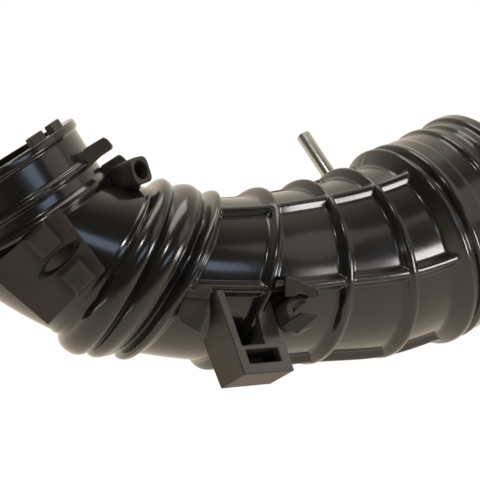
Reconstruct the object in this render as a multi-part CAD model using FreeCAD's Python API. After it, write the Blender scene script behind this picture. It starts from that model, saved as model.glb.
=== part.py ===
import FreeCAD, Part
import math
import os
from FreeCAD import Matrix, Placement, Rotation, Vector

# Air intake hose: one rubber moulding, kept as an elbow length and a body length that meet in the first
# ring rib, and the steel breather pipe pressed into its boss.
# Lengths are millimetres, angles are degrees. The duct runs from the collar's mouth to the cuff's mouth.

# Duct
WALL = 4.0
TUBE_R = 38.5
COLLAR_MOUTH = Vector(-109.0, -19.7, 38.0)
COLLAR_HEADING = -5.0
COLLAR_PITCH = -58.0
SHOULDER_AT = 29.0
# Ring planes of the duct: centre, heading and pitch of the plane's normal, radius of the plain tube.
BELLOWS_1 = (Vector(-55.5, -17.5, -8.0), 7.0, -30.0, TUBE_R)
BELLOWS_2 = (Vector(-45.0, -16.0, -10.5), 7.0, -31.0, TUBE_R)
RING_A = (Vector(-33.5, -13.5, -13.0), 10.0, -32.0, 39.5)
RING_B = (Vector(-4.0, -4.0, -17.0), 21.0, -22.0, 39.5)
RING_C = (Vector(29.5, 12.5, -18.0), 28.0, -5.0, 39.0)
RING_D = (Vector(56.5, 27.5, -17.5), 31.0, 6.0, 42.0)
FLANGE = (Vector(80.5, 41.0, -12.5), 32.0, 15.0, 43.3)
SPAN_SHARES = (0.5,)
PARTING_REACH = 200.0

# Collar, along its axis from the mouth
COLLAR_BORE_R = 35.0
COLLAR_BORE_DEPTH = 27.0
COLLAR_SEAT_R = 39.0
LIP_R = 40.5
LIP_WIDTH = 4.0
RIDGE_R = 41.2
RIDGE_AT = 19.0
RIDGE_WIDTH = 2.6
SHOULDER_R = 41.5

# Bellows, and the low ring after them
BELLOWS_CREST_R = 44.5
BELLOWS_ROUND_R = 6.0
BELLOWS_WALL = 2.6
BELLOWS_RUN_IN = 2.0
BELLOWS_STEPS = (-52.0, -26.0, 0.0, 26.0, 52.0)
BELLOWS_INNER_STEPS = (-52.0, 0.0, 52.0)
LOW_RING_HEIGHT = 1.4
LOW_RING_GAP = 1.0

# Ribs
RIB_HEIGHT = 4.3
RIB_TOP = 2.3
RIB_BASE = 7.0
RIB_ROOT = 2.4
LENGTH_RIB_HEIGHT = 3.8
LENGTH_RIB_ANGLES = (6.0, 66.0, 126.0, 186.0, 240.0)
LOWEST_RIB_ANGLE = 292.0

# Cuff, along its axis from the flange's middle
CUFF_BORE_R = 45.0
CUFF_LENGTH = 48.0
CUFF_SEAT_R = 49.0
CUFF_CONE_START = 2.0
CUFF_CONE_END = 10.0
FLANGE_FLANK = 7.0
FLANGE_R = 50.1
CUFF_BEAD_R = 49.9
CUFF_GROOVE_R = 46.6
CUFF_RING_R = 50.2
CUFF_LIP_R = 51.0

# Breather pipe
PIPE_R = 3.5
PIPE_BORE_R = 2.6
PIPE_FOOT_R = 4.2
PIPE_HEADING = 131.0
PIPE_PITCH = 42.0
PIPE_FREE_LENGTH = 28.5
PIPE_FOOT_SHOWS = 0.3
BOSS_R = 6.5
BOSS_STANDS = 5.0
BOSS_FLARE = 2.0
PIPE_SHARE = 0.5

# Pad on the elbow
PAD_FACE_Y = -61.0
PAD_DEPTH = 25.0
PAD_BLOCK = 11.0
PAD_BLOCK_HEIGHT = 5.0
PAD_BLOCK_DRAFT = 1.6
PAD_BLOCK_OFFSET = 10.5
PAD_TURN = 47.0
PAD_SLOT_LENGTH = 25.0
PAD_SLOT_WIDTH = 6.0
PAD_SLOT_DEPTH = 3.0

# Fittings are drawn in planes that lean back from upright by this angle
LEAN = 12.5

# Lug and clip block over the collar
LUG_FRONT = -44.0
LUG_DEPTH = 9.0
CLIP_FRONT = -27.0
CLIP_DEPTH = 15.0
CLIP_BOSS_R = 6.6
CLIP_BOSS_LENGTH = 17.0
CLIP_BORE_R = 4.4
CLIP_BORE_DEPTH = 12.0
CLIP_MOUTH = Vector(-44.0, -23.0, 37.0)
CLIP_HEADING = -35.0
CLIP_PITCH = 22.0

# Mouth tabs
TAB_REACH = 4.0
TAB_WIDTH = 8.0
TAB_THICK = 4.5
TAB_ANGLES = (49.0, 69.0)

# Bracket under the body, in its own out, across and up directions
BRACKET_CORNER = Vector(2.0, -61.5, -46.5)
BRACKET_OUT = Vector(0.50, -0.70, 0.51)
BRACKET_ACROSS = Vector(0.84, 0.54, -0.08)
BRACKET_UP = Vector(-0.32, 0.20, 0.93)
BRACKET_DEPTH = 21.0
PLATE_TOP_DEPTH = 18.0
PLATE_WAIST_DEPTH = 23.0
PLATE_WAIST = 25.0
BRACKET_WIDTH = 26.5
BRACKET_BOX = 13.5
BRACKET_TALL = 39.0
BRACKET_PLATE = 4.0
SOCKET_WIDTH = 17.5
SOCKET_HEIGHT = 6.2
SOCKET_SILL = 5.0
SOCKET_DEPTH = 14.0
GUSSET_FOOT = 8.0
GUSSET_SHARE = 0.82
GUSSET_CREST = 2.5
WEB_FRONT = -49.0
WEB_DEPTH = 18.0

# Cable clip beside the bracket
CABLE_R = 5.0
CABLE_WALL = 3.2
CABLE_WIDTH = 11.0
CABLE_FRONT = -45.0
CABLE_DEPTH = 16.0
CABLE_CENTRE = Vector(25.0, -40.0, -25.0)
CABLE_HEADING = -55.0
CABLE_PITCH = 30.0


def direction(heading, pitch):
    """Unit vector at a heading from +X towards +Y and a pitch above level."""
    flat = math.cos(math.radians(pitch))
    turn = math.radians(heading)
    return Vector(flat * math.cos(turn), flat * math.sin(turn), math.sin(math.radians(pitch)))


def frame_at(centre, normal):
    """Placement whose Z is the normal, X points up in that plane and Y points to the near side."""
    near = Vector(normal.y, -normal.x, 0).normalize()
    up = near.cross(normal)
    return Placement(Matrix(up.x, near.x, normal.x, centre.x,
                            up.y, near.y, normal.y, centre.y,
                            up.z, near.z, normal.z, centre.z,
                            0, 0, 0, 1))


COLLAR_AXIS = direction(COLLAR_HEADING, COLLAR_PITCH)
COLLAR_FRAME = frame_at(COLLAR_MOUTH, COLLAR_AXIS)
CUFF_AXIS = direction(FLANGE[1], FLANGE[2])
CUFF_FRAME = frame_at(FLANGE[0], CUFF_AXIS)


def collar_station(along, radius):
    """Ring plane of the collar at a distance from its mouth."""
    return (COLLAR_MOUTH + COLLAR_AXIS * along, COLLAR_HEADING, COLLAR_PITCH, radius)


STATIONS = [collar_station(COLLAR_BORE_DEPTH - 3.0, TUBE_R), collar_station(SHOULDER_AT + 4.0, TUBE_R),
            BELLOWS_1, BELLOWS_2, RING_A, RING_B, RING_C, RING_D, FLANGE]


def hermite(values, knots, index, share):
    """Cubic through values at knots, with slopes from the neighbouring values."""
    def slope(i):
        low = max(i - 1, 0)
        high = min(i + 1, len(values) - 1)
        return (values[high] - values[low]) * (1.0 / (knots[high] - knots[low]))
    span = knots[index + 1] - knots[index]
    t = share
    return (values[index] * (2 * t ** 3 - 3 * t ** 2 + 1) + values[index + 1] * (3 * t ** 2 - 2 * t ** 3)
            + slope(index) * ((t ** 3 - 2 * t ** 2 + t) * span)
            + slope(index + 1) * ((t ** 3 - t ** 2) * span))


KNOTS = [0.0]
for before, after in zip(STATIONS, STATIONS[1:]):
    KNOTS.append(KNOTS[-1] + (after[0] - before[0]).Length)


def station_between(index, share):
    """Ring plane part of the way from one station to the next."""
    centre, heading, pitch, radius = (hermite([row[k] for row in STATIONS], KNOTS, index, share)
                                      for k in range(4))
    return centre, heading, pitch, radius


def between(index, inset=0.0):
    """Ring planes inside one span of the duct, their radius less the inset."""
    rows = [station_between(index, share) for share in SPAN_SHARES]
    return [(centre, heading, pitch, radius - inset) for centre, heading, pitch, radius in rows]


def offset(station, along, radius):
    """Ring plane moved along its own normal, with another radius."""
    return (station[0] + direction(station[1], station[2]) * along, station[1], station[2], radius)


def ring_frame(station):
    return frame_at(station[0], direction(station[1], station[2]))


def tube_through(stations):
    """Solid tube, ruled from one ring plane's circle to the next."""
    wires = []
    for station in stations:
        circle = Part.makeCircle(station[3])
        wires.append(Part.Wire([circle.transformGeometry(ring_frame(station).toMatrix())]))
    return Part.makeLoft(wires, True, True)


def rib_profile(station):
    """Ring planes of a rib of trapezoid section."""
    tube_r = station[3]
    top_r = tube_r + RIB_HEIGHT
    return [offset(station, -RIB_BASE / 2, tube_r), offset(station, -RIB_TOP / 2, top_r),
            offset(station, RIB_TOP / 2, top_r), offset(station, RIB_BASE / 2, tube_r)]


def turn_profile(station, round_r, crest_r, steps):
    """Ring planes of one round turn of the bellows, from flank to flank."""
    rows = []
    for angle in steps:
        swing = math.radians(angle)
        radius = crest_r - round_r + round_r * math.cos(swing)
        rows.append(offset(station, round_r * math.sin(swing), radius))
    return rows


def duct():
    """Outside of the duct from the collar to the flange, with its bellows and ring ribs."""
    rows = [collar_station(SHOULDER_AT, TUBE_R), STATIONS[1]] + between(1)
    rows.append(offset(BELLOWS_1, -BELLOWS_ROUND_R - BELLOWS_RUN_IN, TUBE_R))
    rows += turn_profile(BELLOWS_1, BELLOWS_ROUND_R, BELLOWS_CREST_R, BELLOWS_STEPS)
    rows += turn_profile(BELLOWS_2, BELLOWS_ROUND_R, BELLOWS_CREST_R, BELLOWS_STEPS)
    rows.append(offset(RING_A, -RIB_BASE / 2 - LOW_RING_GAP, RING_A[3] + LOW_RING_HEIGHT))
    for station in (RING_A, RING_B, RING_C, RING_D):
        rows += rib_profile(station)
    rows.append(offset(FLANGE, -FLANGE_FLANK / 2, FLANGE[3]))
    return tube_through(rows)


def air_way():
    """Inside of the duct, with the bellows' turns hollow."""
    round_r = BELLOWS_ROUND_R - BELLOWS_WALL
    crest_r = BELLOWS_CREST_R - BELLOWS_WALL
    inner_r = TUBE_R - WALL
    rows = [collar_station(COLLAR_BORE_DEPTH - 2.0, inner_r), collar_station(SHOULDER_AT + 4.0, inner_r)]
    rows += between(1, WALL)
    rows.append(offset(BELLOWS_1, -BELLOWS_ROUND_R - BELLOWS_RUN_IN / 2, inner_r))
    rows += turn_profile(BELLOWS_1, round_r, crest_r, BELLOWS_INNER_STEPS)
    rows += turn_profile(BELLOWS_2, round_r, crest_r, BELLOWS_INNER_STEPS)
    for station in (RING_A, RING_B, RING_C, RING_D):
        rows.append(offset(station, 0, station[3] - WALL))
    rows.append(offset(FLANGE, CUFF_CONE_START + 2.0, FLANGE[3] - WALL))
    return tube_through(rows)


def turned(profile, frame):
    """Solid of revolution of radius and height pairs about the frame's Z."""
    points = [Vector(radius, 0, height) for radius, height in profile]
    face = Part.Face(Part.makePolygon(points + points[:1]))
    solid = face.revolve(Vector(0, 0, 0), Vector(0, 0, 1), 360)
    solid.Placement = frame
    return solid


def prism(points, along):
    """Solid of a closed outline carried along a vector."""
    return Part.Face(Part.makePolygon(points + points[:1])).extrude(along)


def block(frame, low, high):
    """Box between two corners of a frame."""
    size = high - low
    solid = Part.makeBox(size.x, size.y, size.z, low)
    solid.Placement = frame
    return solid


def collar():
    """Lip, clamp seat, ridge and shoulder, turned about the collar's axis."""
    ridge_low = RIDGE_AT - RIDGE_WIDTH / 2
    ridge_high = RIDGE_AT + RIDGE_WIDTH / 2
    return turned([(COLLAR_BORE_R - 3, 0), (LIP_R - 0.8, 0), (LIP_R, 0.8), (LIP_R, LIP_WIDTH - 0.6),
                   (COLLAR_SEAT_R, LIP_WIDTH + 0.6), (COLLAR_SEAT_R, ridge_low - 0.6), (RIDGE_R, ridge_low),
                   (RIDGE_R, ridge_high), (COLLAR_SEAT_R, ridge_high + 0.6),
                   (COLLAR_SEAT_R, SHOULDER_AT - 3.0), (SHOULDER_R, SHOULDER_AT - 1.0),
                   (SHOULDER_R, SHOULDER_AT + 0.6), (TUBE_R + 0.4, SHOULDER_AT + 3.0),
                   (COLLAR_BORE_R - 3, SHOULDER_AT + 3.0)], COLLAR_FRAME)


def cuff():
    """Flange, bead, clamp seat, ring and end lip, turned about the cuff's axis."""
    tube_r = FLANGE[3]
    end = CUFF_LENGTH
    return turned([(tube_r - 5, -FLANGE_FLANK), (tube_r + 0.3, -FLANGE_FLANK), (FLANGE_R - 1.2, -2.2),
                   (FLANGE_R, -1.2), (FLANGE_R, 1.2), (CUFF_GROOVE_R, 2.4), (CUFF_GROOVE_R, 4.6),
                   (CUFF_BEAD_R, 5.6), (CUFF_BEAD_R, 8.2), (CUFF_SEAT_R, 9.2),
                   (CUFF_SEAT_R, 25.2), (CUFF_RING_R, 26.2),
                   (CUFF_RING_R, 28.8), (CUFF_SEAT_R - 1, 30.4), (CUFF_SEAT_R - 1, 34.6),
                   (CUFF_SEAT_R, 36.0), (CUFF_SEAT_R, end - 7.6), (CUFF_LIP_R, end - 6.2),
                   (CUFF_LIP_R, end - 1.4), (CUFF_LIP_R - 1.2, end), (tube_r - 5, end)], CUFF_FRAME)


def length_rib(angle, rings):
    """Rib of trapezoid section that follows the tube from its first ring to the flange."""
    wires = []
    turn = math.radians(angle)
    outward = Vector(math.sin(turn), math.cos(turn), 0)
    across = Vector(math.cos(turn), -math.sin(turn), 0)
    for station in rings + [offset(FLANGE, -FLANGE_FLANK / 2, FLANGE[3])]:
        foot = outward * (station[3] - RIB_ROOT)
        crest = outward * (station[3] + LENGTH_RIB_HEIGHT)
        corners = [foot - across * (RIB_BASE / 2), crest - across * (RIB_TOP / 2),
                   crest + across * (RIB_TOP / 2), foot + across * (RIB_BASE / 2)]
        frame = ring_frame(station)
        wires.append(Part.makePolygon([frame.multVec(corner) for corner in corners + corners[:1]]))
    return Part.makeLoft(wires, True, True)


def pad_axes():
    """Directions in the pad's face: along the row of blocks, and across it."""
    turn = math.radians(PAD_TURN)
    along = Vector(math.cos(turn), 0, -math.sin(turn))
    across = Vector(math.sin(turn), 0, math.cos(turn))
    return along, across


PAD_MIDDLE = Vector(-77.5, PAD_FACE_Y, 5.0)


def square(middle, side):
    """Square wire in the pad's plane, its sides along the pad's directions."""
    along, across = pad_axes()
    one = (along + across) * (side / 2)
    other = (along - across) * (side / 2)
    return Part.makePolygon([middle + one, middle + other, middle - one, middle - other, middle + one])


def pad():
    """Flat plate on the near side of the elbow, with two raised blocks and a slot between them."""
    along, across = pad_axes()
    outline = [Vector(-78, PAD_FACE_Y, 26.5), Vector(-58, PAD_FACE_Y, 0), Vector(-74, PAD_FACE_Y, -14.5),
               Vector(-83, PAD_FACE_Y, -24), Vector(-109, PAD_FACE_Y, -0.5)]
    plate = prism(outline, Vector(0, PAD_DEPTH, 0))
    out = Vector(0, -1, 0)
    for side in (-1, 1):
        foot = PAD_MIDDLE + along * (side * PAD_BLOCK_OFFSET)
        raised = Part.makeLoft([square(foot - out, PAD_BLOCK + 2 * PAD_BLOCK_DRAFT),
                                square(foot + out * PAD_BLOCK_HEIGHT, PAD_BLOCK)], True, True)
        plate = plate.fuse(raised)
    width = along * PAD_SLOT_WIDTH
    length = across * PAD_SLOT_LENGTH
    corner = PAD_MIDDLE - (width + length) * 0.5
    slot = prism([corner, corner + width, corner + width + length, corner + length], out * -PAD_SLOT_DEPTH)
    return plate.cut(slot)


def leaning(across, rise, depth):
    """Point of a plane that leans back: distance across, up the plane, and away behind it."""
    tilt = math.radians(LEAN)
    return Vector(across, rise * math.sin(tilt) + depth * math.cos(tilt),
                  rise * math.cos(tilt) - depth * math.sin(tilt))


def leaning_prism(outline, front, thickness):
    """Outline in a leaning plane, carried straight back."""
    points = [leaning(across, rise, front) for across, rise in outline]
    return prism(points, leaning(0, 0, thickness))


def lug():
    """Flat finger that stands off the collar's ridge."""
    return leaning_prism([(-74, 34), (-68, 40.5), (-60, 45.5), (-57.5, 44), (-56, 41), (-63.5, 36),
                          (-70, 29.5)], LUG_FRONT, LUG_DEPTH)


def clip_block():
    """Block on the inside of the elbow, with a round boss for a peg."""
    wall = leaning_prism([(-70, 28), (-54.5, 38.5), (-50.5, 35), (-47, 29), (-44.5, 20), (-48, 16.5),
                          (-56, 15.5), (-67, 22)], CLIP_FRONT, CLIP_DEPTH)
    axis = direction(CLIP_HEADING, CLIP_PITCH)
    round_boss = Part.makeCylinder(CLIP_BOSS_R, CLIP_BOSS_LENGTH, CLIP_MOUTH, axis * -1)
    return wall.fuse(round_boss)


def clip_bore():
    axis = direction(CLIP_HEADING, CLIP_PITCH)
    return Part.makeCylinder(CLIP_BORE_R, CLIP_BORE_DEPTH + 1, CLIP_MOUTH + axis, axis * -1)


def tabs():
    """Keying tabs that stand out of the collar's mouth."""
    made = []
    for angle in TAB_ANGLES:
        turn = Placement(Vector(0, 0, 0), Rotation(Vector(0, 0, 1), 90 - angle))
        made.append(block(COLLAR_FRAME.multiply(turn), Vector(LIP_R - TAB_THICK, -TAB_WIDTH / 2, -TAB_REACH),
                          Vector(LIP_R - 0.6, TAB_WIDTH / 2, 1)))
    return made


def bracket_point(across, rise):
    """Point of the bracket's front, from its lower corner."""
    return BRACKET_CORNER + BRACKET_ACROSS * across + BRACKET_UP * rise


def bracket_prism(outline, depth):
    """Outline of the bracket's front carried back towards the body."""
    return prism([bracket_point(across, rise) for across, rise in outline], BRACKET_OUT * -depth)


def bracket():
    """Side plate, socket box, gusset and web under the near side of the body."""
    back = BRACKET_OUT * -1
    side = [bracket_point(0, 0), bracket_point(0, BRACKET_TALL),
            bracket_point(0, BRACKET_TALL) + back * PLATE_TOP_DEPTH,
            bracket_point(0, PLATE_WAIST) + back * PLATE_WAIST_DEPTH,
            bracket_point(0, 0) + back * BRACKET_DEPTH]
    plate = prism(side, BRACKET_ACROSS * BRACKET_PLATE)
    box = bracket_prism([(0, 0), (BRACKET_WIDTH, 0), (BRACKET_WIDTH, BRACKET_BOX), (0, BRACKET_BOX)],
                        BRACKET_DEPTH)
    foot = BRACKET_WIDTH * GUSSET_SHARE
    low = BRACKET_BOX - 1
    high = BRACKET_TALL - 1
    gusset = bracket_prism([(foot - GUSSET_FOOT, low), (foot, low), (BRACKET_WIDTH, high),
                            (BRACKET_WIDTH - GUSSET_CREST, high)], BRACKET_DEPTH)
    web = leaning_prism([(-24.5, -20), (-12, -20.5), (-15.5, -34.5), (-18, -40.5), (-25.5, -36)],
                        WEB_FRONT, WEB_DEPTH)
    return plate.fuse([box, gusset, web])


def socket():
    """Rectangular socket in the front of the bracket's box."""
    corner = bracket_point(BRACKET_PLATE, SOCKET_SILL) + BRACKET_OUT
    across = BRACKET_ACROSS * SOCKET_WIDTH
    up = BRACKET_UP * SOCKET_HEIGHT
    outline = [corner, corner + across, corner + across + up, corner + up]
    return prism(outline, BRACKET_OUT * (-SOCKET_DEPTH - 1))


def pipe_seat():
    """Ring plane that the breather pipe stands on, and the pipe's direction."""
    return station_between(7, PIPE_SHARE), direction(PIPE_HEADING, PIPE_PITCH)


def boss():
    """Round boss of the moulding round the pipe's foot."""
    station, axis = pipe_seat()
    wall_r = station[3] - WALL
    return Part.makeCone(BOSS_R + BOSS_FLARE, BOSS_R, WALL + BOSS_STANDS, station[0] + axis * wall_r, axis)


def pipe_hole():
    """Hole of the boss, the size of the pipe's upset foot."""
    station, axis = pipe_seat()
    start = station[0] + axis * (station[3] - 2 * WALL)
    return Part.makeCylinder(PIPE_FOOT_R, 2 * WALL + 2 * BOSS_STANDS, start, axis)


def breather_pipe():
    """Steel tube with an upset foot inside the boss and a plain free end."""
    station, axis = pipe_seat()
    start = station[0] + axis * (station[3] - WALL)
    foot_length = WALL + BOSS_STANDS + PIPE_FOOT_SHOWS
    foot = Part.makeCylinder(PIPE_FOOT_R, foot_length, start, axis)
    tube = Part.makeCylinder(PIPE_R, PIPE_FREE_LENGTH, start + axis * foot_length, axis)
    bore = Part.makeCylinder(PIPE_BORE_R, foot_length + PIPE_FREE_LENGTH, start, axis)
    return foot.fuse(tube).cut(bore)


def mouth_bores():
    """Straight bores of the collar and the cuff."""
    bore = Part.makeCylinder(COLLAR_BORE_R, COLLAR_BORE_DEPTH + 1, Vector(0, 0, -1), Vector(0, 0, 1))
    bore.Placement = COLLAR_FRAME
    inner_r = FLANGE[3] - WALL
    cuff_bore = turned([(0, CUFF_CONE_START), (inner_r - 0.3, CUFF_CONE_START), (CUFF_BORE_R, CUFF_CONE_END),
                        (CUFF_BORE_R, CUFF_LENGTH + 1), (0, CUFF_LENGTH + 1)], CUFF_FRAME)
    return [bore, cuff_bore]


def cable_clip():
    """Open ring for a cable, with a block over it and an arm under it, beside the bracket."""
    axis = direction(CABLE_HEADING, CABLE_PITCH)
    foot = CABLE_CENTRE - axis * (CABLE_WIDTH / 2)
    ring = Part.makeCylinder(CABLE_R + CABLE_WALL, CABLE_WIDTH, foot, axis)
    over = leaning_prism([(20, -16.5), (27.5, -17), (35, -20), (35, -24.5), (20, -25)],
                         CABLE_FRONT, CABLE_DEPTH)
    under = leaning_prism([(19, -37.5), (27.5, -33), (35, -33.5), (25.5, -42), (18, -40)],
                          CABLE_FRONT, CABLE_DEPTH)
    start = CABLE_CENTRE - axis * (2 * CABLE_WIDTH)
    clear = Part.makeCylinder(CABLE_R + CABLE_WALL / 2, 4 * CABLE_WIDTH, start, axis)
    return ring.fuse([over.cut(clear), under.cut(clear)])


def cable_gap():
    """Round seat of the cable clip and the slot that a cable snaps in through."""
    axis = direction(CABLE_HEADING, CABLE_PITCH)
    foot = CABLE_CENTRE - axis * (CABLE_WIDTH / 2 + 1)
    seat = Part.makeCylinder(CABLE_R, CABLE_WIDTH + 2, foot, axis)
    frame = frame_at(foot, axis)
    way = direction(CABLE_HEADING + 90, 0)
    side = frame.Rotation.inverted().multVec(way)
    side = Vector(side.x, side.y, 0).normalize()
    cross = Vector(-side.y, side.x, 0) * (CABLE_R * 0.7)
    outline = [cross, cross + side * (CABLE_R * 3), cross * -1 + side * (CABLE_R * 3), cross * -1]
    slot = prism([frame.multVec(point) for point in outline], axis * (CABLE_WIDTH + 2))
    return seat.fuse(slot)


def moulding():
    """The whole rubber moulding as one solid."""
    outer = duct().fuse([collar(), cuff()])
    rings = [RING_A, RING_B, RING_C, RING_D]
    ribs = [length_rib(angle, rings) for angle in LENGTH_RIB_ANGLES]
    outer = outer.fuse(ribs + [length_rib(LOWEST_RIB_ANGLE, rings[1:])])
    outer = outer.fuse([pad(), lug(), clip_block(), bracket(), boss(), cable_clip()] + tabs())
    return outer.cut(air_way()).cut(mouth_bores() + [pipe_hole(), clip_bore(), socket(), cable_gap()])


def parted(solid):
    """The moulding's two lengths, parted in the middle of the first ring rib where the duct bends away."""
    low = Vector(-PARTING_REACH, -PARTING_REACH, -PARTING_REACH)
    high = Vector(PARTING_REACH, PARTING_REACH, 0)
    elbow_side = block(ring_frame(RING_A), low, high)
    return solid.common(elbow_side), solid.cut(elbow_side)


def main():
    os.makedirs("parts", exist_ok=True)
    elbow, body = parted(moulding())
    pieces = {"hose_elbow": elbow, "hose_body": body, "breather_pipe": breather_pipe()}
    for name, shape in pieces.items():
        shape.translate(COLLAR_MOUTH * -1)
        print(name, shape.isValid(), len(shape.Solids), round(shape.Volume))
        shape.exportStep(f"parts/{name}.step")


main()
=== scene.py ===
import math

import bmesh
import bpy
import numpy as np
from bpy.props import FloatProperty, FloatVectorProperty, PointerProperty
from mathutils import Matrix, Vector
from mathutils.geometry import tessellate_polygon


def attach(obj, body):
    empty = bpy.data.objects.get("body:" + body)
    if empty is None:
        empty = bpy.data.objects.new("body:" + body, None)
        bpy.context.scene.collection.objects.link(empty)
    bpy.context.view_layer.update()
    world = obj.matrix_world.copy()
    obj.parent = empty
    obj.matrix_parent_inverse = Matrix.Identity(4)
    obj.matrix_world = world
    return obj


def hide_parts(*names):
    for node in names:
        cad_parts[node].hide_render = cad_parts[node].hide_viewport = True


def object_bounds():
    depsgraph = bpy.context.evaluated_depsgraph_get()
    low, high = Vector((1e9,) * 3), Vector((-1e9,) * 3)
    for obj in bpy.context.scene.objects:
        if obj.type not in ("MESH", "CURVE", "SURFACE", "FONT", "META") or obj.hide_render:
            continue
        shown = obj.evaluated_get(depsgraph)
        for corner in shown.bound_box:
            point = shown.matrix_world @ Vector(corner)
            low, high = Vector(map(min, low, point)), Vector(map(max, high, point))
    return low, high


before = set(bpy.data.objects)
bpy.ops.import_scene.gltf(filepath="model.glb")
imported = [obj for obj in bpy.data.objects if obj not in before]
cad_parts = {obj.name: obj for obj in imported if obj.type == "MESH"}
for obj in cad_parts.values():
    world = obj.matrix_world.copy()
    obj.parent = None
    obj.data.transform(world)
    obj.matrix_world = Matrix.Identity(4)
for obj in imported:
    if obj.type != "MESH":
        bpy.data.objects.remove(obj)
CAD_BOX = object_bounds()

bl_info = {
    "name": "Air intake hose",
    "version": (1, 0, 0),
    "blender": (4, 5, 0),
    "location": "View3D > Sidebar > Hose",
    "description": "Moulded rubber air intake hose with its breather pipe",
    "category": "Object",
}

# Lengths are millimetres until a mesh is made, in a working frame whose origin the camera looks at.
# A turn is a heading from +X towards +Y and a pitch above level, in degrees.
MM = 0.001
COLLAR_MOUTH = np.array([-109.0, -19.7, 38.0])
HOSE_MIDDLE = -COLLAR_MOUTH * MM
COLLAR_TURN = (-5.0, -58.0)
COLLAR_END = 34.0
COLLAR_BORE_R = 35.0
COLLAR_BORE_DEPTH = 27.0
FLANGE_AT = np.array([80.5, 41.0, -12.5])
CUFF_TURN = (32.0, 15.0)
CUFF_LENGTH = 48.0
CUFF_NECK_R = 43.3
CUFF_LEAD = 8.0
CUFF_BORE_LEAD = 1.0
TUBE_R = 38.5
WALL = 4.0
# The camera's rise, and the lean of the planes that some fittings are drawn in
LEAN = math.radians(12.5)

# Places along the duct and outside radii, from the collar's mouth and from the cuff's flange
COLLAR_PROFILE = [
    (-1, 39.7), (0.0, 39.8), (0.5, 40.5), (3.6, 40.5), (4.6, 39.0), (17.2, 39.0), (17.7, 41.2),
    (20.3, 41.2), (20.9, 39.0), (26.0, 39.2), (28.0, 41.5), (29.6, 41.5), (32.0, TUBE_R)]
CUFF_PROFILE = [
    (-7.0, 43.3), (-2.0, 49.2), (-1.2, 50.1), (1.2, 50.1), (2.3, 46.6), (4.7, 46.6), (5.6, 49.9),
    (8.2, 49.9), (9.2, 49.2), (16.0, 49.2), (16.4, 48.8), (25.2, 48.8), (26.1, 50.2), (28.8, 50.2),
    (30.2, 48.0), (34.4, 48.0), (36.0, 49.2), (40.4, 49.2), (41.6, 51.0), (46.8, 51.0),
    (CUFF_LENGTH, 49.8)]
# Places from the cuff's flange and inside radii
CUFF_BORE_PROFILE = [(-20, 39.3), (2.0, 39.3), (10.0, 45.0), (60.0, 45.0)]
CORNER_SPREAD = 0.45
CORNER_SAMPLES = 9

# Bellows turns and the hollows in them: rounding, crest radius, reach beyond the two middles
TURNS = (6.0, 44.6, 9.0)
HOLLOWS = (3.4, 41.9, 8.0)
VALLEY_ROUND = 1.2
# Low ring between the bellows and the first ring rib
LOW_RING_BACK = 6.0
LOW_RING_HALF = 1.9
LOW_RING_HEIGHT = 1.5

# Rib section, ring ribs and lengthwise ribs; the last of these starts at the second ring
RIB_BASE = 7.0
RIB_TOP = 2.3
RIB_ROUND = 0.9
RIB_JOIN = 0.8
RING_RIB_HEIGHT = 4.3
LONG_RIB_HEIGHT = 3.8
LONG_RIB_SINK = 0.8
LONG_RIB_STOP = 1.5
LONG_RIB_ARC_R = 40.0
LONG_RIB_ANGLES = (6.0, 66.0, 126.0, 186.0, 240.0, 292.0)

# Mesh columns: degrees to each side of a lengthwise rib, and how many span the gap to the next
RIB_COLUMNS = np.array([0, 0.9, 1.4, 1.9, 2.5, 3.2, 3.9, 4.5, 5.0, 5.6, 6.4, 7.6])
GAP_COLUMNS = 12
ROUND_COLUMNS = 48
DUCT_CREASE = math.radians(75)
TURNED_CREASE = math.radians(40)

# Tube that cuts the fittings back to the wall: rows, columns and its margin over the inside radius
CORE_ROWS = 120
CORE_COLUMNS = 72
CORE_MARGIN = 1.2

BEVEL_SEGMENTS = 3
BEVEL_ANGLE = math.radians(30)


def heading_to(heading, pitch):
    """Unit vectors at headings from +X towards +Y and pitches above level."""
    turn, rise = np.radians(heading), np.radians(pitch)
    level = np.cos(rise)
    return np.stack([level * np.cos(turn), level * np.sin(turn), np.sin(rise) + 0 * turn], -1)


COLLAR_AXIS = heading_to(*COLLAR_TURN)
CUFF_AXIS = heading_to(*CUFF_TURN)


def collar_row(along):
    """Station of the collar at a distance from its mouth."""
    return (*(COLLAR_MOUTH + COLLAR_AXIS * along), *COLLAR_TURN, TUBE_R)


def cuff_row(along):
    """Station of the cuff at a distance from its flange."""
    return (*(FLANGE_AT + CUFF_AXIS * along), *CUFF_TURN, CUFF_NECK_R)


# Ring planes: centre, heading and pitch of the plane's normal, radius of the plain tube
STATIONS = np.array([
    collar_row(0.0), collar_row(24.0), collar_row(33.0),
    (-55.5, -17.5, -8.0, 7.0, -30.0, TUBE_R),
    (-45.0, -16.0, -10.5, 7.0, -31.0, TUBE_R),
    (-33.5, -13.5, -13.0, 10.0, -32.0, 39.5),
    (-4.0, -4.0, -17.0, 21.0, -22.0, 39.5),
    (29.5, 12.5, -18.0, 28.0, -5.0, 39.0),
    (56.5, 27.5, -17.5, 31.0, 6.0, 42.0),
    cuff_row(0.0), cuff_row(8.0), cuff_row(CUFF_LENGTH)])
STEPS = np.linalg.norm(np.diff(STATIONS[:, :3], axis=0), axis=1)
KNOTS = np.concatenate([[0.0], np.cumsum(STEPS)])
BELLOWS = KNOTS[[3, 4]]
RINGS = KNOTS[[5, 6, 7, 8]]
FLANGE = KNOTS[9]
DUCT_END = KNOTS[-1]


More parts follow.
